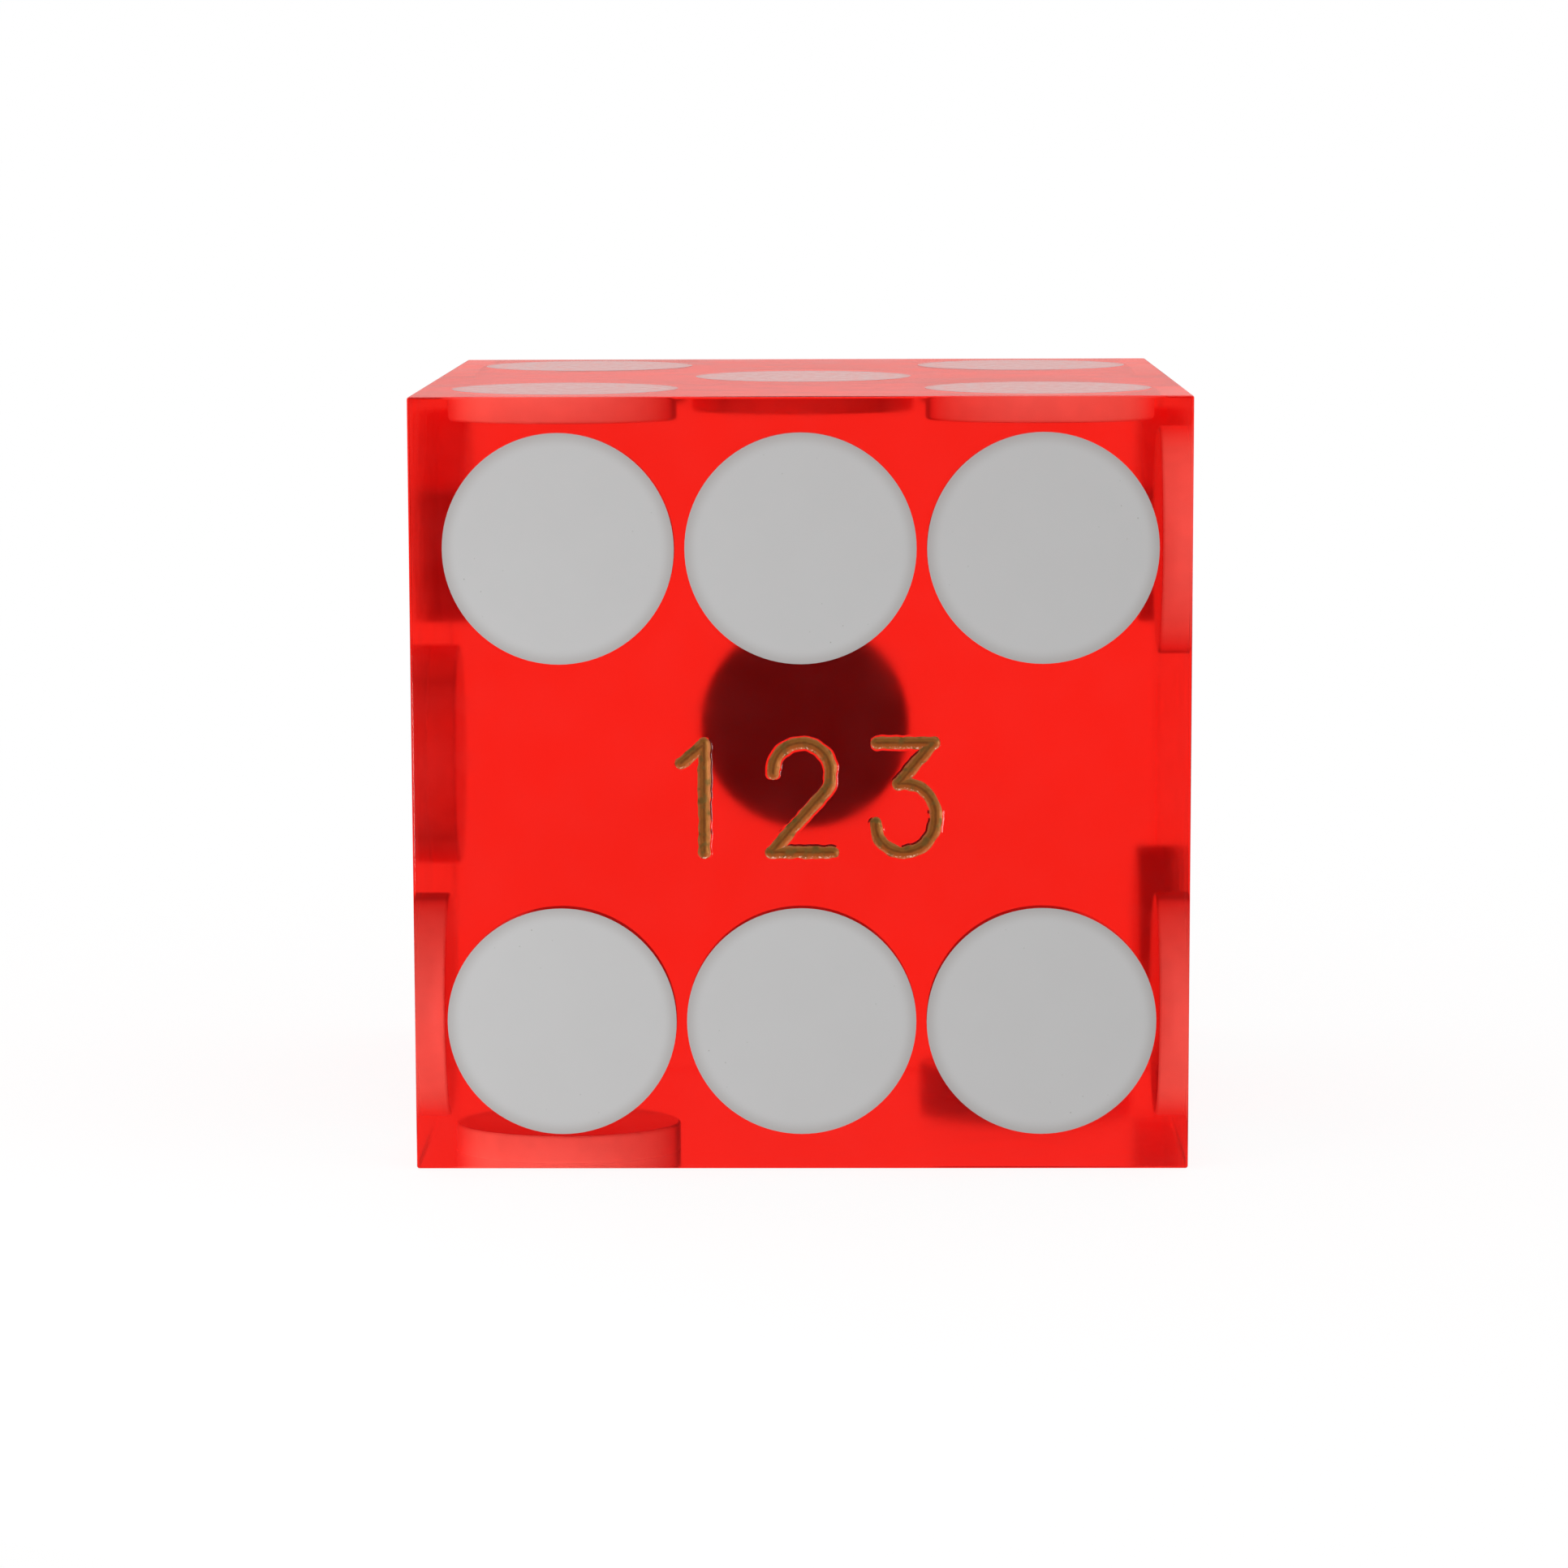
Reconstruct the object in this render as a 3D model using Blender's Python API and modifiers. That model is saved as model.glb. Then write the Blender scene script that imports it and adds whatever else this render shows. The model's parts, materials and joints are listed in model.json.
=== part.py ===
"""Casino die: a machined cube of clear red acetate with 21 white pips set flush in it.

The die is built the way a real one is made. A cube is cut true, flat-bottomed
spots are drilled in its faces, each spot is filled with an opaque compound as
dense as the acetate, and the faces are ground until the fills lie flush. The
edges stay square, with only their feather edge taken off, and nothing on the
die moves. The origin is the centre of the cube, +Z is up and -Y is the front.
"""

import math

import bpy
from mathutils import Matrix, Vector

MM = 0.001

# The cube.
SIDE = 19.05 * MM
EDGE_BREAK = 0.12 * MM
EDGE_SEGMENTS = 2

# The drilled spots. A face's spots stand on a grid of three columns and three rows.
PIP_DIAMETER = 0.296 * SIDE
COLUMN_PITCH = 0.3095 * SIDE
ROW_PITCH = 0.306 * SIDE
PIP_DEPTH = 0.70 * MM
FLOOR_CORNER = 0.10 * MM
CUTTER_OVERSHOOT = 0.20 * MM

# The fill of a spot is this much smaller than the spot, all round and below.
FILL_CLEARANCE = 0.02 * MM
TURNED_STEPS = 48
MERGE_DISTANCE = 0.001 * MM
SHARP_ANGLE = math.radians(30)

RIGHT, BACK, UP = Vector((1, 0, 0)), Vector((0, 1, 0)), Vector((0, 0, 1))

# Each face: its name, its outward direction, the direction that counts as its
# columns, and its pips as (column, row). The rows run along outward x columns,
# which is up on the four sides. Opposite faces add up to seven, and one, two
# and three run anticlockwise round the corner where they meet.
CORNERS = [(-1, 1), (1, 1), (-1, -1), (1, -1)]
FACES = [
    ("one", BACK, -RIGHT, [(0, 0)]),
    ("two", -UP, RIGHT, [(-1, 1), (1, -1)]),
    ("three", -RIGHT, -BACK, [(-1, 1), (0, 0), (1, -1)]),
    ("four", RIGHT, BACK, CORNERS),
    ("five", UP, RIGHT, [*CORNERS[:2], (0, 0), *CORNERS[2:]]),
    ("six", -BACK, RIGHT, [(column, row) for row in (1, -1) for column in (-1, 0, 1)]),
]

ACETATE_RED = (0.939, 0.017, 0.011)
COMPOUND_GREY = (0.503, 0.503, 0.503)


def remove_everything():
    for thing in list(bpy.data.objects):
        bpy.data.objects.remove(thing, do_unlink=True)


def new_collection(name):
    collection = bpy.data.collections.new(name)
    bpy.context.scene.collection.children.link(collection)
    return collection


def principled_material(name, colour, roughness):
    material = bpy.data.materials.new(name)
    material.use_nodes = True
    shader = material.node_tree.nodes["Principled BSDF"]
    shader.inputs["Base Color"].default_value = (*colour, 1)
    shader.inputs["Roughness"].default_value = roughness
    shader.inputs["Metallic"].default_value = 0
    material.diffuse_color = (*colour, 1)
    return material, shader


def acetate_material():
    """Polished cellulose acetate, dyed red in the mass and clear right through."""
    material, shader = principled_material("red_acetate", ACETATE_RED, 0.08)
    shader.inputs["IOR"].default_value = 1.49
    shader.inputs["Transmission Weight"].default_value = 1
    return material


def compound_material():
    """The opaque fill, ground flat with the face and so less glossy than it."""
    material, _ = principled_material("pip_compound", COMPOUND_GREY, 0.35)
    return material


def placed(name, data, frame, column, row, collection):
    """An object on a face's grid, its own +Z pointing out of the face."""
    thing = bpy.data.objects.new(name, data)
    collection.objects.link(thing)
    thing.parent = frame
    thing.location = (column * COLUMN_PITCH, row * ROW_PITCH, 0)
    return thing


def face_frame(name, outward, columns, collection):
    """An empty at a face's centre, with X along its columns and Z pointing out."""
    frame = bpy.data.objects.new(f"{name}_face", None)
    frame.empty_display_size = SIDE / 4
    rows = outward.cross(columns)
    turn = Matrix((columns, rows, outward)).transposed()
    frame.matrix_world = Matrix.Translation(outward * SIDE / 2) @ turn.to_4x4()
    collection.objects.link(frame)
    return frame


def turned_mesh(name, profile):
    """The solid that a profile of (radius, height) points sweeps about the Z axis."""
    outline = bpy.data.meshes.new(f"{name}_profile")
    points = [(radius, 0, height) for radius, height in profile]
    outline.from_pydata(points, [(i, i + 1) for i in range(len(points) - 1)], [])
    blank = bpy.data.objects.new(f"{name}_blank", outline)
    bpy.context.scene.collection.objects.link(blank)
    screw = blank.modifiers.new("turn", "SCREW")
    screw.axis = "Z"
    screw.steps = TURNED_STEPS
    screw.render_steps = TURNED_STEPS
    screw.use_merge_vertices = True
    screw.merge_threshold = MERGE_DISTANCE
    evaluated = blank.evaluated_get(bpy.context.evaluated_depsgraph_get())
    mesh = bpy.data.meshes.new_from_object(evaluated)
    mesh.name = name
    mesh.shade_smooth()
    mesh.set_sharp_from_angle(angle=SHARP_ANGLE)
    bpy.data.objects.remove(blank)
    return mesh


def spot_profile(radius, top, depth):
    """A flat-bottomed spot from its axis at the top, down its wall, to its floor.

    The drill's corners are eased, so the wall meets the floor at a small bevel.
    """
    return [
        (0, top),
        (radius, top),
        (radius, FLOOR_CORNER - depth),
        (radius - FLOOR_CORNER, -depth),
        (0, -depth),
    ]


def pip_mesh(material):
    """One fill. It is flush with the face and clears its spot's wall and floor."""
    radius = PIP_DIAMETER / 2 - FILL_CLEARANCE
    mesh = turned_mesh("pip", spot_profile(radius, 0, PIP_DEPTH - FILL_CLEARANCE))
    mesh.materials.append(material)
    return mesh


def spot_cutter_mesh():
    """The drill for one spot, which starts a little outside the face."""
    return turned_mesh("spot", spot_profile(PIP_DIAMETER / 2, CUTTER_OVERSHOOT, PIP_DEPTH))


def die_body(material, drills, collection):
    """The cube, with its edges broken and then its 21 spots drilled."""
    bpy.ops.mesh.primitive_cube_add(size=SIDE)
    body = bpy.context.object
    body.name = "die_body"
    for owner in list(body.users_collection):
        owner.objects.unlink(body)
    collection.objects.link(body)
    body.data.materials.append(material)
    broken_edges = body.modifiers.new("broken_edges", "BEVEL")
    broken_edges.width = EDGE_BREAK
    broken_edges.segments = EDGE_SEGMENTS
    broken_edges.limit_method = "ANGLE"
    spots = body.modifiers.new("spots", "BOOLEAN")
    spots.operation = "DIFFERENCE"
    spots.solver = "EXACT"
    spots.operand_type = "COLLECTION"
    spots.collection = drills
    return body


def build_die():
    die = new_collection("casino_die")
    drills = new_collection("spot_drills")
    pip = pip_mesh(compound_material())
    drill = spot_cutter_mesh()
    for name, outward, columns, pips in FACES:
        frame = face_frame(name, outward, columns, die)
        for number, (column, row) in enumerate(pips, start=1):
            placed(f"{name}_pip_{number}", pip, frame, column, row, die)
            cutter = placed(f"{name}_drill_{number}", drill, frame, column, row, drills)
            cutter.hide_render = True
            cutter.display_type = "WIRE"
    die_body(acetate_material(), drills, die)


remove_everything()
build_die()
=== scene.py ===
"""Looks of the casino die: clear red acetate, its flush fills and a gold foil number."""

import json
import math

import bmesh
import bpy
from mathutils import Matrix, Vector, kdtree, noise

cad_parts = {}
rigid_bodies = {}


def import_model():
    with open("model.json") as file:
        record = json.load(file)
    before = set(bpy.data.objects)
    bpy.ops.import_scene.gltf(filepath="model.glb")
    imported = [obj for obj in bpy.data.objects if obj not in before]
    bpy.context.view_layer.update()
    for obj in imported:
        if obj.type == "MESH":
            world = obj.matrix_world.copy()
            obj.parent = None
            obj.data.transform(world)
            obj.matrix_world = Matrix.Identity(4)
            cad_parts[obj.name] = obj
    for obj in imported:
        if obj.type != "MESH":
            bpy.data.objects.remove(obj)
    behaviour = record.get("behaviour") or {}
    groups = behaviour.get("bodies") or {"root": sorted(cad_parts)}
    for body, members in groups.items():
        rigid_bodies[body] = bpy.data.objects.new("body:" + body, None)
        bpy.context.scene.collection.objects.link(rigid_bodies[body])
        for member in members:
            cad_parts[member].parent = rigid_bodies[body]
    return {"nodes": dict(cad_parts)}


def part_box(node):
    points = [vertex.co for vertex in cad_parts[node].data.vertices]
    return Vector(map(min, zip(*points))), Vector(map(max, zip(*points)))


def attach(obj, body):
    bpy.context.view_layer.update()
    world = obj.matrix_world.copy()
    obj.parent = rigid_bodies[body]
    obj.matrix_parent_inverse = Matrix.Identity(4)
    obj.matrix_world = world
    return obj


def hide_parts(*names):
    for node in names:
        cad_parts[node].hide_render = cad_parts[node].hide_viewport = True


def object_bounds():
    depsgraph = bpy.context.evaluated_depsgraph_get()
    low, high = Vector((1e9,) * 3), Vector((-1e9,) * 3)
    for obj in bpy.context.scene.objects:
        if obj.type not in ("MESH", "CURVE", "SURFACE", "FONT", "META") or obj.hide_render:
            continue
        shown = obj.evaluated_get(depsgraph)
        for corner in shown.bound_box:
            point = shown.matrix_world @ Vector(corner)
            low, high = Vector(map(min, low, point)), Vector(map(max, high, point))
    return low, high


MM = 0.001
MICRON = 0.000001

# The camera: its place from the middle of the die in sides of the die, its angles in degrees.
CAMERA_PLACE = Vector((0.0543, -6.6026, 0.8345))
CAMERA_PITCH = 7.754
CAMERA_TURN = 0.715
CAMERA_ROLL = -0.177
LENS = 110.24
SENSOR = 36

# The acetate cube and the fills in its spots. A fill is a hair larger than its spot, so
# that no air lies between the two.
EDGE_BREAK = 0.06 * MM
EDGE_SEGMENTS = 3
TURNED_STEPS = 96
FILL_CLEARANCE = 0.02 * MM
BED_CORNER = 0.08 * MM
BED_CORNER_STEPS = 4
RIM_WIDTH = 0.30 * MM
RIM_DROP = 5 * MICRON
RIM_STEPS = 6
CONTACT = 3 * MICRON
SLIVER = 0.3 * MICRON
SHARP = math.radians(30)

# How squarely a mesh face looks along an axis before it counts as a flat of the cube, as
# the ground face of a fill or as its bed.
FLAT = 0.9999
GROUND_FACE = 0.7
BED_FACE = -0.95

# The stamped number: its middle on the front face, and the section of a stroke.
NUMBER_PLACE = Vector((0.02, 0, -0.28)) * MM
DIGIT_PITCH = 2.53 * MM
HALF_STROKE = 0.15 * MM
STROKE_STEP = 0.03 * MM
STROKE_DEPTH = 0.08 * MM
SHOULDER_WIDTH = 0.05 * MM
SHOULDER_DEPTH = 0.02 * MM
ARC_STEPS = 32
END_STEPS = 6
SECTION_STEPS = 10
SECTION_ROUNDNESS = 0.6
NARROWEST = 0.003
FOIL = 0.03 * MM
FOIL_OVERLAP = 1.01
FOIL_SHARP = math.radians(60)
RAGGED = 0.035 * MM
RAGGED_LENGTH = 0.22 * MM
RAGGED_APART = 7
AIR = 0.1 * MM

# Each digit as strokes on the face, in millimetres: corners as (x, z, corner's radius).
DIGITS = {
    "one": [
        [(-0.42, 0.86, 0), (0.11, 1.29, 0)],
        [(0.14, 1.35, 0), (0.14, -1.35, 0)],
    ],
    "two": [
        [
            (-0.70, 0.60, 0),
            (-0.70, 1.35, 0.69),
            (0.70, 1.35, 0.69),
            (0.70, 0.30, 0.60),
            (-0.72, -1.32, 0),
        ],
        [(-0.76, -1.35, 0), (0.76, -1.35, 0)],
    ],
    "three": [
        [(-0.70, 1.35, 0), (0.70, 1.35, 0)],
        [(0.66, 1.32, 0), (-0.14, 0.36, 0)],
        [
            (-0.18, 0.34, 0),
            (0.74, 0.34, 0.76),
            (0.74, -1.35, 0.78),
            (-0.72, -1.35, 0.66),
            (-0.72, -0.62, 0),
        ],
    ],
}

# Materials. A range of two numbers is where something starts and ends. A size is that of
# the grain which drives it, and this is the part of a grain's values that counts.
GRAIN_RANGE = (0.3, 0.7)

# Acetate. The absorption is per metre of it, for red, green and blue.
ACETATE_IOR = 1.49
ABSORPTION = (1, 222, 250)
POLISH = (0.10, 0.165)
POLISH_SIZE = 1.2 * MM

# Fills: the ground face, the side and the bed under it. The side's colour is painted light, a
# brighter and redder copy of the compound for the light that reaches it through the acetate, and the
# bed's is painted shade, a darker copy for the little light that reaches it. A slanted colour is the
# one seen at a slant, and the slants are where it starts and ends; the side's is a painted reflection
# of the die's red inside.
FACE = (0.49, 0.49, 0.49, 1)
# The darker colour of the mottling, and also the painted shade along the face's rim.
FACE_MOTTLE_AND_RIM_SHADE = (0.40, 0.385, 0.38, 1)
FACE_SPECK = (0.34, 0.33, 0.32, 1)
RIM_SHADE_WIDTH = 0.40 * MM
RIM_SHADE_CURVE = 1.5
MOTTLE = 0.05
MOTTLE_SIZE = 1.4 * MM
SPECK_SIZE = 0.16 * MM
SPECK_RANGE = (0.78, 0.82)
FACE_ROUGHNESS = (0.15, 0.25)
FACE_ROUGHNESS_SIZE = 0.3 * MM
FACE_BUMP = 0.4 * MICRON
FACE_BUMP_SIZE = 0.12 * MM
# Painted light: the side as a brighter, redder copy of the compound.
SIDE_PAINTED_LIGHT = (1.0, 0.205, 0.17, 1)
# Painted shade: the bed as a darker copy of the compound.
BED_PAINTED_SHADE = (0.185, 0.02, 0.015, 1)
# Painted reflection: the die's red inside, as the side mirrors it at a slant.
SIDE_SLANTED_PAINTED_REFLECTION = (1.0, 0.07, 0.055, 1)
SIDE_SLANTS = (0.3, 0.85)
BED_SLANTS = (0.2, 0.4)
BED_SLANTED = (0.60, 0.06, 0.05, 1)
# Painted shade for what stands deep in the die.
DEEP_PAINTED_SHADE = (0.55, 0.36, 0.36, 1)
SHADED_DEPTHS = (6 * MM, 15 * MM)
LEAST_STEEP = 0.001
BOND_ROUGHNESS = 0.2
CEMENT_SIZE = 0.5 * MM
CEMENT_SHADE = 0.95

# Gold foil: the line along its middle, the rest, its edges, its painted glints on upward slopes, and
# its dark spots.
FOIL_LINE = (0.25, 0.092, 0.013, 1)
FOIL_MIDDLE = (0.39, 0.155, 0.025, 1)
FOIL_EDGE = (0.60, 0.215, 0.065, 1)
FOIL_PAINTED_GLINT = (0.95, 0.80, 0.60, 1)
FOIL_TARNISH = (0.24, 0.145, 0.03, 1)
FOIL_METALLIC = 0.6
FOIL_ROUGHNESS = (0.36, 0.55)
FOIL_ROUGHNESS_SIZE = 0.1 * MM
LINE_RANGE = (0.22, 0.50)
EDGE_RANGE = (0.72, 1.05)
WAVER = 0.35
WAVER_SIZE = 0.12 * MM
TARNISH_SIZE = 0.25 * MM
TARNISH_RANGE = (0.50, 0.68)
CREASE = 5 * MICRON
CREASE_SIZE = 0.06 * MM
GLINT_RANGE = (0.52, 0.60)
GLINT_SLOPES = (0.30, 0.60)

# Light. Surroundings are as bright as white paper, apart from those that the polished
# faces mirror: a dim floor, deep red in front, and rose behind that turns pale higher up.
# Places and sizes of what lights the die are in sides of the die, and the floor's in metres.
NEUTRAL = (1, 1, 1, 1)
WHITE = 1.0
STUDIO = 0.84
MIRRORED_FLOOR_NEAR = 0.12
MIRRORED_FLOOR_FAR = 0.03
MIRRORED_FLOOR_REACH = (0.7, 1.7)
MIRRORED_FRONT = (0.75, 0.06, 0.03, 1)
MIRRORED_FRONT_ENDS = (-0.75, -0.25)
MIRRORED_LOW = (1.0, 0.26, 0.23, 1)
MIRRORED_HIGH = (1.0, 0.88, 0.87, 1)
MIRRORED_HIGH_FROM = 0.25
FLOOR_SEEN = 0.18
FLOOR_GLOW = 0.85
FLOOR_SIZE = 4
LAMP_PLACE = Vector((-1.3, -1.8, -0.3))
LAMP_SIZE = 0.8
LAMP_POWER = 0.0034
MOST_BOUNCES = 32
GLOSSY_BOUNCES = 16
DIFFUSE_BOUNCES = 8


def add_object(name, data):
    piece = bpy.data.objects.new(name, data)
    bpy.context.scene.collection.objects.link(piece)
    return piece


def turned_to(direction):
    """The rotation whose Z axis points in the direction."""
    return direction.to_track_quat("Z", "Y").to_matrix().to_4x4()


def evaluated_mesh(piece, name):
    """The piece's mesh with its modifiers applied. The piece itself is removed."""
    graph = bpy.context.evaluated_depsgraph_get()
    mesh = bpy.data.meshes.new_from_object(piece.evaluated_get(graph))
    mesh.name = name
    bpy.data.objects.remove(piece)
    return mesh


def combined(piece, others, operation):
    """The piece's mesh, united with or less the other (mesh, place) pairs."""
    tools = bpy.data.collections.new("tools")
    bpy.context.scene.collection.children.link(tools)
    for mesh, place in others:
        tool = bpy.data.objects.new("tool", mesh)
        tool.matrix_world = place
        tools.objects.link(tool)
    boolean = piece.modifiers.new("combine", "BOOLEAN")
    boolean.operation = operation
    boolean.solver = "EXACT"
    boolean.operand_type = "COLLECTION"
    boolean.collection = tools
    mesh = evaluated_mesh(piece, piece.name)
    for tool in list(tools.objects):
        bpy.data.objects.remove(tool)
    bpy.data.collections.remove(tools)
    return cleaned(mesh)


def cleaned(mesh):
    """The mesh without the slivers that a cut leaves."""
    shape = bmesh.new()
    shape.from_mesh(mesh)
    bmesh.ops.remove_doubles(shape, verts=shape.verts, dist=SLIVER)
    bmesh.ops.dissolve_degenerate(shape, edges=shape.edges, dist=SLIVER)
    shape.to_mesh(mesh)
    shape.free()
    return mesh


def mesh_of(shape, name):
    mesh = bpy.data.meshes.new(name)
    shape.to_mesh(mesh)
    shape.free()
    return mesh


# ---------------------------------------------------------------- nodes


def node(tree, kind, *inputs, **settings):
    """A new node. Inputs are sockets or values in order; a setting names a property."""
    made = tree.nodes.new(kind)
    for key, value in settings.items():
        setattr(made, key, value)
    fill_sockets(tree, made.inputs, inputs)
    return made


def math_node(tree, operation, *inputs):
    return node(tree, "ShaderNodeMath", *inputs, operation=operation).outputs[0]


def vector_node(tree, operation, *inputs):
    return node(tree, "ShaderNodeVectorMath", *inputs, operation=operation).outputs["Vector"]


def spread(tree, value, low, high, to_low=0.0, to_high=1.0):
    """The value eased from one range to another, and held at its ends."""
    kind = "ShaderNodeMapRange"
    made = node(tree, kind, value, low, high, to_low, to_high, interpolation_type="SMOOTHSTEP")
    return made.outputs["Result"]


def fill_sockets(tree, sockets, values):
    for socket, value in zip(sockets, values):
        if isinstance(value, bpy.types.NodeSocket):
            tree.links.new(value, socket)
        elif value is not None:
            socket.default_value = value


def mixed(tree, share, first, second, blend="MIX"):
    made = node(tree, "ShaderNodeMix", data_type="RGBA", blend_type=blend)
    factor, first_colour, second_colour = made.inputs[0], made.inputs[6], made.inputs[7]
    fill_sockets(tree, (factor, first_colour, second_colour), (share, first, second))
    return made.outputs[2]


def grain(tree, where, size, detail=2.0):
    """Noise whose features are about the size given."""
    made = node(tree, "ShaderNodeTexNoise", where)
    made.inputs["Scale"].default_value = 1 / size
    made.inputs["Detail"].default_value = detail
    return made.outputs["Fac"]


def bump(tree, height, distance):
    made = node(tree, "ShaderNodeBump")
    made.inputs["Distance"].default_value = distance
    tree.links.new(height, made.inputs["Height"])
    return made.outputs["Normal"]


def new_material(name):
    material = bpy.data.materials.new(name)
    material.use_nodes = True
    tree = material.node_tree
    return material, tree, tree.nodes["Principled BSDF"]


def object_place(tree):
    return node(tree, "ShaderNodeTexCoord").outputs["Object"]


def shares(tree, vector):
    """The three shares of a vector socket."""
    return node(tree, "ShaderNodeSeparateXYZ", vector).outputs


# ---------------------------------------------------------------- materials


def acetate_material():
    """Clear red acetate with the fine uneven polish that a ground face has."""
    material, tree, shader = new_material("red_acetate")
    shader.inputs["Base Color"].default_value = NEUTRAL
    shader.inputs["Transmission Weight"].default_value = 1
    shader.inputs["IOR"].default_value = ACETATE_IOR
    uneven = grain(tree, object_place(tree), POLISH_SIZE, 3.0)
    tree.links.new(spread(tree, uneven, *GRAIN_RANGE, *POLISH), shader.inputs["Roughness"])
    absorb = node(tree, "ShaderNodeVolumeAbsorption")
    density = max(ABSORPTION)
    absorb.inputs["Color"].default_value = (*(1 - share / density for share in ABSORPTION), 1)
    absorb.inputs["Density"].default_value = density
    tree.links.new(absorb.outputs[0], tree.nodes["Material Output"].inputs["Volume"])
    return material


def compound_material(radius):
    """The fill's ground face: faintly mottled, specked, and with painted shade towards its rim."""
    material, tree, shader = new_material("pip_compound")
    where = object_place(tree)
    mottle = spread(tree, grain(tree, where, MOTTLE_SIZE), *GRAIN_RANGE, 0.0, MOTTLE)
    speck = spread(tree, grain(tree, where, SPECK_SIZE, 1.0), *SPECK_RANGE)
    colour = mixed(tree, mottle, FACE, FACE_MOTTLE_AND_RIM_SHADE)
    # Painted shade along the face's rim.
    colour = mixed(tree, painted_rim_shade_share(tree, where, radius), colour, FACE_MOTTLE_AND_RIM_SHADE)
    colour = mixed(tree, speck, colour, FACE_SPECK)
    tree.links.new(colour, shader.inputs["Base Color"])
    rough = spread(tree, grain(tree, where, FACE_ROUGHNESS_SIZE, 3.0), *GRAIN_RANGE, *FACE_ROUGHNESS)
    tree.links.new(rough, shader.inputs["Roughness"])
    uneven = bump(tree, grain(tree, where, FACE_BUMP_SIZE), FACE_BUMP)
    tree.links.new(uneven, shader.inputs["Normal"])
    return material


def painted_rim_shade_share(tree, where, radius):
    """How far a point of a fill's face is into the painted shade along its rim, 0 to 1."""
    x, y, _ = shares(tree, where)
    square = math_node(tree, "ADD", math_node(tree, "POWER", x, 2), math_node(tree, "POWER", y, 2))
    shade = spread(tree, math_node(tree, "SQRT", square), radius - RIM_SHADE_WIDTH, radius)
    return math_node(tree, "POWER", shade, RIM_SHADE_CURVE)


def depth_shade(tree):
    """Painted shade that darkens what has deep acetate before it: the way from the surface, square to
    it, to the die's outside."""
    low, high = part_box("die_body")
    geometry = node(tree, "ShaderNodeNewGeometry").outputs
    toward = vector_node(tree, "SIGN", geometry["Normal"])
    outward = vector_node(tree, "MULTIPLY", geometry["Position"], toward)
    room = vector_node(tree, "SUBTRACT", (high - low) / 2, outward)
    steep = vector_node(tree, "ABSOLUTE", geometry["Normal"])
    steep = vector_node(tree, "MAXIMUM", steep, (LEAST_STEEP, LEAST_STEEP, LEAST_STEEP))
    x, y, z = shares(tree, vector_node(tree, "DIVIDE", room, steep))
    shortest = math_node(tree, "MINIMUM", math_node(tree, "MINIMUM", x, y), z)
    return mixed(tree, spread(tree, shortest, *SHADED_DEPTHS), NEUTRAL, DEEP_PAINTED_SHADE)


def bonded_material(name):
    """A material for where a fill is bonded to the acetate, so that nothing shines."""
    material, tree, shader = new_material(name)
    shader.inputs["Roughness"].default_value = BOND_ROUGHNESS
    shader.inputs["Specular IOR Level"].default_value = 0
    return material, tree, shader


def cement_colour(tree, colour, slanted, slants):
    """A colour that is a little cloudy with cement and goes over into another at a slant.
    The second result says how far it has gone."""
    cloud = spread(tree, grain(tree, object_place(tree), CEMENT_SIZE, 3.0), *GRAIN_RANGE)
    darker = (*(share * CEMENT_SHADE for share in colour[:3]), 1)
    # How far the surface is seen at a slant; on the side it brings in a painted reflection, on the
    # bed it also sets the metallic mirror.
    slant = spread(tree, node(tree, "ShaderNodeLayerWeight", 0.5).outputs["Facing"], *slants)
    return mixed(tree, slant, mixed(tree, cloud, darker, colour), slanted), slant


def side_material():
    """A fill's side: painted light, with a painted reflection that makes it redder at a slant and
    painted shade where it stands deep in the die.
    """
    material, tree, shader = bonded_material("pip_side")
    # Painted light on the side, going over into a painted reflection at a slant.
    colour, _ = cement_colour(tree, SIDE_PAINTED_LIGHT, SIDE_SLANTED_PAINTED_REFLECTION, SIDE_SLANTS)
    # Painted shade where the side stands deep in the die.
    shaded = mixed(tree, 1.0, colour, depth_shade(tree), "MULTIPLY")
    tree.links.new(shaded, shader.inputs["Base Color"])
    return material


def bed_material():
    """A fill's bed, a darker copy of the compound as painted shade. At a slant the drilled surface
    over it mirrors the die's inside.
    """
    material, tree, shader = bonded_material("pip_bed")
    # Painted shade: the bed's colour is a darker copy of the compound.
    colour, slant = cement_colour(tree, BED_PAINTED_SHADE, BED_SLANTED, BED_SLANTS)
    tree.links.new(colour, shader.inputs["Base Color"])
    tree.links.new(slant, shader.inputs["Metallic"])
    return material


def foil_material():
    """Stamped foil: a dull line along its middle, pale edges, dark tarnish spots, and painted glints
    where creases face up.
    """
    material, tree, shader = new_material("gold_foil")
    where = object_place(tree)
    creases = grain(tree, where, CREASE_SIZE)
    tree.links.new(foil_colour(tree, where, creases), shader.inputs["Base Color"])
    shader.inputs["Metallic"].default_value = FOIL_METALLIC
    rough = spread(tree, grain(tree, where, FOIL_ROUGHNESS_SIZE), *GRAIN_RANGE, *FOIL_ROUGHNESS)
    tree.links.new(rough, shader.inputs["Roughness"])
    tree.links.new(bump(tree, creases, CREASE), shader.inputs["Normal"])
    return material


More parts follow.
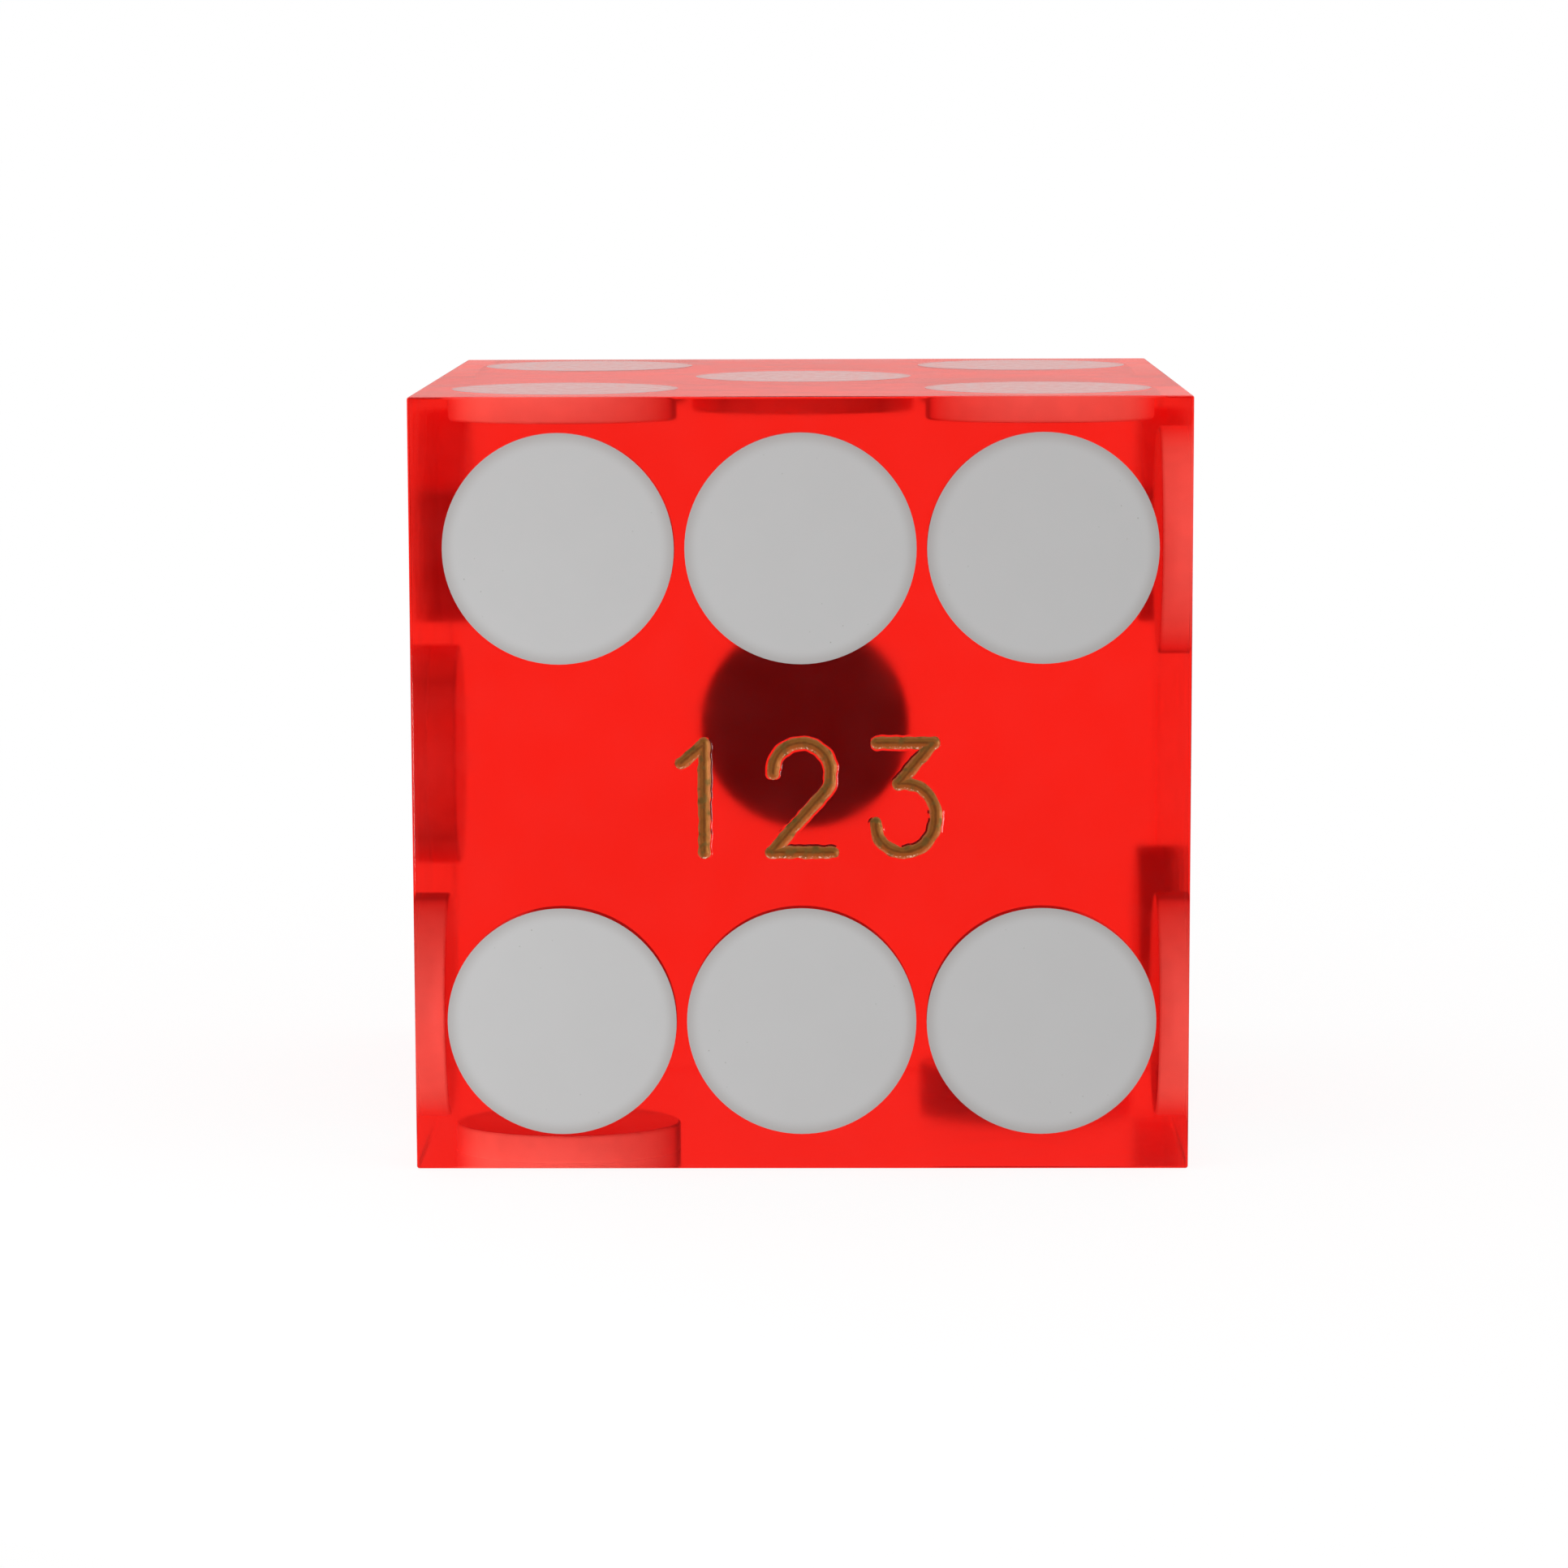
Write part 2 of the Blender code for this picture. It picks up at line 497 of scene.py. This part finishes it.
def foil_colour(tree, where, creases):
    across = node(tree, "ShaderNodeAttribute", attribute_name="across").outputs["Fac"]
    waver = math_node(tree, "MULTIPLY", grain(tree, where, WAVER_SIZE), WAVER)
    uneven = math_node(tree, "ADD", across, waver)
    colour = mixed(tree, spread(tree, uneven, *LINE_RANGE), FOIL_LINE, FOIL_MIDDLE)
    colour = mixed(tree, spread(tree, uneven, *EDGE_RANGE), colour, FOIL_EDGE)
    tarnish = spread(tree, grain(tree, where, TARNISH_SIZE, 3.0), *TARNISH_RANGE)
    colour = mixed(tree, tarnish, colour, FOIL_TARNISH)
    # Painted glints: creases on slopes that face upward are lightened as if lit from above.
    upward = shares(tree, node(tree, "ShaderNodeNewGeometry").outputs["Normal"])["Z"]
    slope = spread(tree, upward, *GLINT_SLOPES)
    painted_glint = math_node(tree, "MULTIPLY", spread(tree, creases, *GLINT_RANGE), slope)
    return mixed(tree, painted_glint, colour, FOIL_PAINTED_GLINT)


# ---------------------------------------------------------------- fills and spots


def turned_mesh(name, profile):
    """The solid that a profile of (radius, height) points sweeps about the Z axis."""
    outline = bpy.data.meshes.new(name)
    points = [(radius, 0, height) for radius, height in profile]
    outline.from_pydata(points, [(i, i + 1) for i in range(len(points) - 1)], [])
    blank = add_object(name, outline)
    screw = blank.modifiers.new("turn", "SCREW")
    screw.axis = "Z"
    screw.steps = TURNED_STEPS
    screw.render_steps = TURNED_STEPS
    screw.use_merge_vertices = True
    screw.merge_threshold = MICRON
    mesh = evaluated_mesh(blank, name)
    mesh.shade_smooth()
    mesh.set_sharp_from_angle(angle=SHARP)
    return mesh


def pip_place(name):
    """A pip of the frame: the radius and depth of its spot, and the place of its face."""
    low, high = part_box(name)
    size = high - low
    middle = (low + high) / 2
    axis = min(range(3), key=lambda i: size[i])
    outward = Vector([math.copysign(1, middle[i]) if i == axis else 0 for i in range(3)])
    surface = middle + outward * size[axis] / 2
    radius = max(size) / 2 + FILL_CLEARANCE
    return radius, size[axis] + FILL_CLEARANCE, Matrix.Translation(surface) @ turned_to(outward)


def bed_profile(radius, depth):
    """The lower end of a spot, from its side over its rounded corner to its middle."""
    corner = []
    for step in range(BED_CORNER_STEPS + 1):
        angle = math.pi / 2 * step / BED_CORNER_STEPS
        inward = BED_CORNER * (1 - math.cos(angle))
        corner.append((radius - inward, BED_CORNER * (1 - math.sin(angle)) - depth))
    return [*corner, (0, -depth)]


def rim_profile(radius):
    """A fill's face, from its middle to its rim, where it falls off by a hair."""
    rim = []
    for step in range(RIM_STEPS + 1):
        share = step / RIM_STEPS
        rim.append((radius - RIM_WIDTH * (1 - share), CONTACT + RIM_DROP * (1 - share**2)))
    return [(0, CONTACT + RIM_DROP), *rim]


def fill_mesh(radius, depth):
    """A fill with its three materials: ground face, side and bed."""
    fill = turned_mesh("fill", [*rim_profile(radius), *bed_profile(radius, depth)])
    fill.materials.append(compound_material(radius))
    fill.materials.append(side_material())
    fill.materials.append(bed_material())
    for face in fill.polygons:
        if face.normal.z < BED_FACE:
            face.material_index = 2
        elif face.normal.z < GROUND_FACE:
            face.material_index = 1
    return fill


def spot_mesh(radius, depth):
    """The cutter of a spot, a hair smaller than its fill."""
    radius, depth = radius - CONTACT, depth - CONTACT
    return turned_mesh("spot", [(0, MM), (radius, MM), *bed_profile(radius, depth)])


# ---------------------------------------------------------------- stamped number


def centreline(corners):
    """Points at even steps along a stroke, with its corners rounded."""
    corners = [(Vector((x, 0, z)) * MM, radius * MM) for x, z, radius in corners]
    dense = [corners[0][0]]
    for (before, _), (at, radius), (after, _) in zip(corners, corners[1:], corners[2:]):
        dense += rounded_corner(before, at, after, radius)
    dense.append(corners[-1][0])
    return evenly_spaced(dense)


def rounded_corner(before, at, after, radius):
    to_before = (before - at).normalized()
    to_after = (after - at).normalized()
    half = to_before.angle(to_after) / 2
    centre = at + (to_before + to_after).normalized() * radius / math.sin(half)
    start = (at + to_before * radius / math.tan(half) - centre).normalized()
    end = (at + to_after * radius / math.tan(half) - centre).normalized()
    return [centre + start.slerp(end, step / ARC_STEPS) * radius for step in range(ARC_STEPS + 1)]


def evenly_spaced(dense):
    """Points at even steps along a run of closely set points."""
    lengths = [0.0]
    for first, second in zip(dense, dense[1:]):
        lengths.append(lengths[-1] + (second - first).length)
    count = round(lengths[-1] / STROKE_STEP)
    points = []
    i = 0
    for step in range(count + 1):
        wanted = lengths[-1] * step / count
        while i < len(dense) - 2 and lengths[i + 1] < wanted:
            i += 1
        share = (wanted - lengths[i]) / (lengths[i + 1] - lengths[i])
        points.append(dense[i].lerp(dense[i + 1], share))
    return points


def with_round_ends(path):
    """The path with a closing stretch of half a stroke's width beyond each end. Each point
    comes with how far it is beyond."""
    steps = range(1, END_STEPS + 1)
    closing = [HALF_STROKE * math.sin(math.pi / 2 * step / END_STEPS) for step in steps]
    start = (path[0] - path[1]).normalized()
    end = (path[-1] - path[-2]).normalized()
    before = [(path[0] + start * beyond, beyond) for beyond in reversed(closing)]
    after = [(path[-1] + end * beyond, beyond) for beyond in closing]
    return before + [(point, 0.0) for point in path] + after


def groove_line(point, beyond):
    """The groove's floor across the stroke, as (across, out of the face)."""
    line = []
    past = (beyond / HALF_STROKE) ** 2
    close = math.sqrt(max(1 - past, NARROWEST))
    for i in range(SECTION_STEPS + 1):
        share = 2 * i / SECTION_STEPS - 1
        side = Vector((0, math.copysign(RAGGED_APART, share), 0))
        uneven = noise.noise(point / RAGGED_LENGTH + side)
        off = max(1 - (share * close) ** 2 - past, 0)
        deep = SHOULDER_DEPTH + (STROKE_DEPTH - SHOULDER_DEPTH) * off**SECTION_ROUNDNESS
        line.append((share * close * (HALF_STROKE + RAGGED * uneven), -deep))
    return line


def groove_section(point, beyond):
    """The stroke's groove with its sloping shoulders, and the air above it."""
    line = groove_line(point, beyond)
    return line + around(line[0][0] - SHOULDER_WIDTH, line[-1][0] + SHOULDER_WIDTH, 0)


def around(left, right, level):
    """The way from one end of a groove's floor to the other through the air above it."""
    return [(right, level), (right, AIR), (left, AIR), (left, level)]


def lining_section(point, beyond):
    """The groove filled from half the foil's gauge below its floor."""
    line = [(across * FOIL_OVERLAP, out - FOIL / 2) for across, out in groove_line(point, beyond)]
    return line + [(line[-1][0], 0), (line[0][0], 0)]


def hollow_section(point, beyond):
    """What lies over the foil: the groove from half its gauge above the floor, and the air."""
    line = [(across, out + FOIL / 2) for across, out in groove_line(point, beyond)]
    return line + around(line[0][0] - SHOULDER_WIDTH, line[-1][0] + SHOULDER_WIDTH, line[0][1])


def swept_mesh(name, path, section):
    """A closed solid with a section at every point of a path on the front face."""
    shape = bmesh.new()
    points = with_round_ends(path)
    outward = Vector((0, -1, 0))
    rings = []
    for step, (point, beyond) in enumerate(points):
        ahead = points[min(step + 1, len(points) - 1)][0] - points[max(step - 1, 0)][0]
        side = ahead.normalized().cross(outward)
        ring = section(point, beyond)
        rings.append([shape.verts.new(point + side * across + outward * out) for across, out in ring])
    for first, second in zip(rings, rings[1:]):
        for i in range(len(first)):
            j = (i + 1) % len(first)
            shape.faces.new((first[i], first[j], second[j], second[i]))
    shape.faces.new(reversed(rings[0]))
    shape.faces.new(rings[-1])
    bmesh.ops.recalc_face_normals(shape, faces=shape.faces)
    return mesh_of(shape, name)


def swept_strokes(name, strokes, section, at):
    """A swept mesh for each stroke, each with its place."""
    return [(swept_mesh(name, centreline(corners), section), at) for corners in strokes]


def foil_mesh(name, strokes):
    """The foil that lines a digit: its strokes joined, less what lies over the foil."""
    (first, _), *others = swept_strokes(name, strokes, lining_section, Matrix())
    lining = combined(add_object(name, first), others, "UNION")
    hollows = swept_strokes(name, strokes, hollow_section, Matrix())
    return combined(add_object(name, lining), hollows, "DIFFERENCE")


def mark_across(mesh, strokes):
    """Stores on each foil vertex how far it lies from the stroke's middle, 0 to 1."""
    points = [point for corners in strokes for point in centreline(corners)]
    tree = kdtree.KDTree(len(points))
    for index, point in enumerate(points):
        tree.insert(point, index)
    tree.balance()
    layer = mesh.attributes.new("across", "FLOAT", "POINT")
    for vertex in mesh.vertices:
        _, _, away = tree.find((vertex.co.x, 0, vertex.co.z))
        layer.data[vertex.index].value = min(away / HALF_STROKE, 1)


def number_middle():
    low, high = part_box("die_body")
    return Vector(((low.x + high.x) / 2, low.y, (low.z + high.z) / 2)) + NUMBER_PLACE


def digit_place(order):
    return Matrix.Translation(number_middle() + Vector(((order - 1) * DIGIT_PITCH, 0, 0)))


def digit_foils():
    foils = {}
    for order, (name, strokes) in enumerate(DIGITS.items()):
        foil = foil_mesh(f"digit_{name}", strokes)
        mark_across(foil, strokes)
        foil.shade_smooth()
        foil.set_sharp_from_angle(angle=FOIL_SHARP)
        foil.transform(digit_place(order))
        foils[name] = foil
    return foils


def digit_cutters():
    cutters = []
    for order, (name, strokes) in enumerate(DIGITS.items()):
        cutters += swept_strokes(name, strokes, groove_section, digit_place(order))
    return cutters


# ---------------------------------------------------------------- acetate


def sharp_edged_cube():
    low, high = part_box("die_body")
    shape = bmesh.new()
    bmesh.ops.create_cube(shape, size=high.x - low.x)
    settings = {"segments": EDGE_SEGMENTS, "profile": 0.5, "affect": "EDGES"}
    bmesh.ops.bevel(shape, geom=shape.edges[:], offset=EDGE_BREAK, **settings)
    mesh = mesh_of(shape, "cube")
    mesh.transform(Matrix.Translation((low + high) / 2))
    return add_object("cube", mesh)


def acetate_mesh(cutters):
    """The cube less its spots and the number's grooves."""
    mesh = combined(sharp_edged_cube(), cutters, "DIFFERENCE")
    mesh.name = "acetate"
    mesh.shade_smooth()
    mesh.set_sharp_from_angle(angle=SHARP)
    for face in mesh.polygons:
        face.use_smooth = max(abs(share) for share in face.normal) < FLAT
    mesh.materials.clear()
    mesh.materials.append(acetate_material())
    return mesh


# ---------------------------------------------------------------- light and camera


def by_ray(tree, seen, through, mirrored, other):
    """A different shader for the camera's own rays, for those that the acetate passes on,
    for those that a surface mirrors, and for those that light the die."""
    path = node(tree, "ShaderNodeLightPath").outputs
    direct = math_node(tree, "LESS_THAN", path["Diffuse Depth"], 0.5)
    first_mirror = math_node(tree, "MULTIPLY", path["Is Glossy Ray"], direct)
    result = other
    for share, shader in (
        (first_mirror, mirrored),
        (path["Is Transmission Ray"], through),
        (path["Is Camera Ray"], seen),
    ):
        result = node(tree, "ShaderNodeMixShader", share, result, shader).outputs[0]
    return result


def mirrored_surroundings(tree):
    """What the polished faces mirror: rose low down, pale higher up, deep red in front."""
    _, backward, upward = shares(tree, node(tree, "ShaderNodeTexCoord").outputs["Generated"])
    behind = mixed(tree, spread(tree, upward, 0.0, MIRRORED_HIGH_FROM), MIRRORED_LOW, MIRRORED_HIGH)
    colour = mixed(tree, spread(tree, backward, *MIRRORED_FRONT_ENDS), MIRRORED_FRONT, behind)
    return node(tree, "ShaderNodeBackground", colour).outputs[0]


def light_surroundings():
    world = bpy.data.worlds.new("surroundings")
    bpy.context.scene.world = world
    world.use_nodes = True
    tree = world.node_tree
    tree.nodes.clear()
    white = node(tree, "ShaderNodeBackground", NEUTRAL, WHITE).outputs[0]
    studio = node(tree, "ShaderNodeBackground", NEUTRAL, STUDIO).outputs[0]
    result = by_ray(tree, white, white, mirrored_surroundings(tree), studio)
    node(tree, "ShaderNodeOutputWorld", result)


def lay_floor(height, side):
    """A pale floor that goes over into the white background and keeps a soft shadow."""
    shape = bmesh.new()
    bmesh.ops.create_grid(shape, x_segments=1, y_segments=1, size=FLOOR_SIZE)
    floor = add_object("floor", mesh_of(shape, "floor"))
    floor.location.z = height - CONTACT * 2 - RIM_DROP
    floor.data.materials.append(floor_material(side))


def floor_material(side):
    material, tree, shader = new_material("floor")
    tree.nodes.remove(shader)
    white = node(tree, "ShaderNodeEmission", NEUTRAL, WHITE).outputs[0]
    glow = node(tree, "ShaderNodeEmission", NEUTRAL, FLOOR_GLOW).outputs[0]
    faint = node(tree, "ShaderNodeBsdfDiffuse", (FLOOR_SEEN, FLOOR_SEEN, FLOOR_SEEN, 1)).outputs[0]
    seen = node(tree, "ShaderNodeAddShader", glow, faint).outputs[0]
    away = node(tree, "ShaderNodeVectorMath", object_place(tree), operation="LENGTH").outputs["Value"]
    near, far = (reach * side for reach in MIRRORED_FLOOR_REACH)
    level = spread(tree, away, near, far, MIRRORED_FLOOR_NEAR, MIRRORED_FLOOR_FAR)
    dim = node(tree, "ShaderNodeEmission", NEUTRAL, level).outputs[0]
    result = by_ray(tree, seen, white, dim, seen)
    tree.links.new(result, tree.nodes["Material Output"].inputs["Surface"])
    return material


def hang_lamp(middle, side):
    """A soft lamp low in front and to the left."""
    data = bpy.data.lights.new("soft_lamp", "AREA")
    data.shape = "DISK"
    data.size = LAMP_SIZE * side
    data.energy = LAMP_POWER
    lamp = add_object("soft_lamp", data)
    away = LAMP_PLACE * side
    lamp.matrix_world = Matrix.Translation(middle + away) @ turned_to(away)
    lamp.visible_camera = False


def place_camera(middle, side):
    data = bpy.data.cameras.new("camera")
    data.lens = LENS
    data.sensor_width = SENSOR
    data.clip_start = side / 10
    camera = add_object("camera", data)
    turn = Matrix.Rotation(math.radians(CAMERA_TURN), 4, "Z")
    tilt = Matrix.Rotation(math.radians(90 - CAMERA_PITCH), 4, "X")
    roll = Matrix.Rotation(math.radians(CAMERA_ROLL), 4, "Z")
    camera.matrix_world = Matrix.Translation(middle + CAMERA_PLACE * side) @ turn @ tilt @ roll
    bpy.context.scene.camera = camera


def trace_deeply():
    """Light crosses the acetate many times before it leaves, and is followed that far."""
    cycles = bpy.context.scene.cycles
    cycles.blur_glossy = 0
    cycles.max_bounces = MOST_BOUNCES
    cycles.transmission_bounces = MOST_BOUNCES
    cycles.glossy_bounces = GLOSSY_BOUNCES
    cycles.diffuse_bounces = DIFFUSE_BOUNCES


# ---------------------------------------------------------------- the die


def place_fills(names, places):
    radius, depth, _ = places[0]
    fill = fill_mesh(radius, depth)
    for order, (name, (_, _, matrix)) in enumerate(zip(names, places)):
        piece = add_object(f"{name}_fill", fill)
        piece.matrix_world = matrix @ Matrix.Rotation(order * math.pi / 2, 4, "Z")
        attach(piece, "root")
        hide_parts(name)


def place_foil():
    material = foil_material()
    for name, foil in digit_foils().items():
        foil.materials.append(material)
        piece = add_object(f"digit_{name}", foil)
        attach(piece, "root")


def place_acetate(places):
    radius, depth, _ = places[0]
    spot = spot_mesh(radius, depth)
    spots = [(spot, place) for _, _, place in places]
    piece = add_object("acetate_cube", acetate_mesh(spots + digit_cutters()))
    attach(piece, "root")
    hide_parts("die_body")


def build_die(frame):
    names = sorted(name for name in frame["nodes"] if "_pip_" in name)
    places = [pip_place(name) for name in names]
    place_acetate(places)
    place_fills(names, places)
    place_foil()


def build_studio(low, high):
    middle = (low + high) / 2
    side = high.x - low.x
    light_surroundings()
    lay_floor(low.z, side)
    hang_lamp(middle, side)
    place_camera(middle, side)
    trace_deeply()
    bpy.context.scene.view_settings.view_transform = "Standard"


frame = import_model()
low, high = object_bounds()
build_die(frame)
build_studio(low, high)
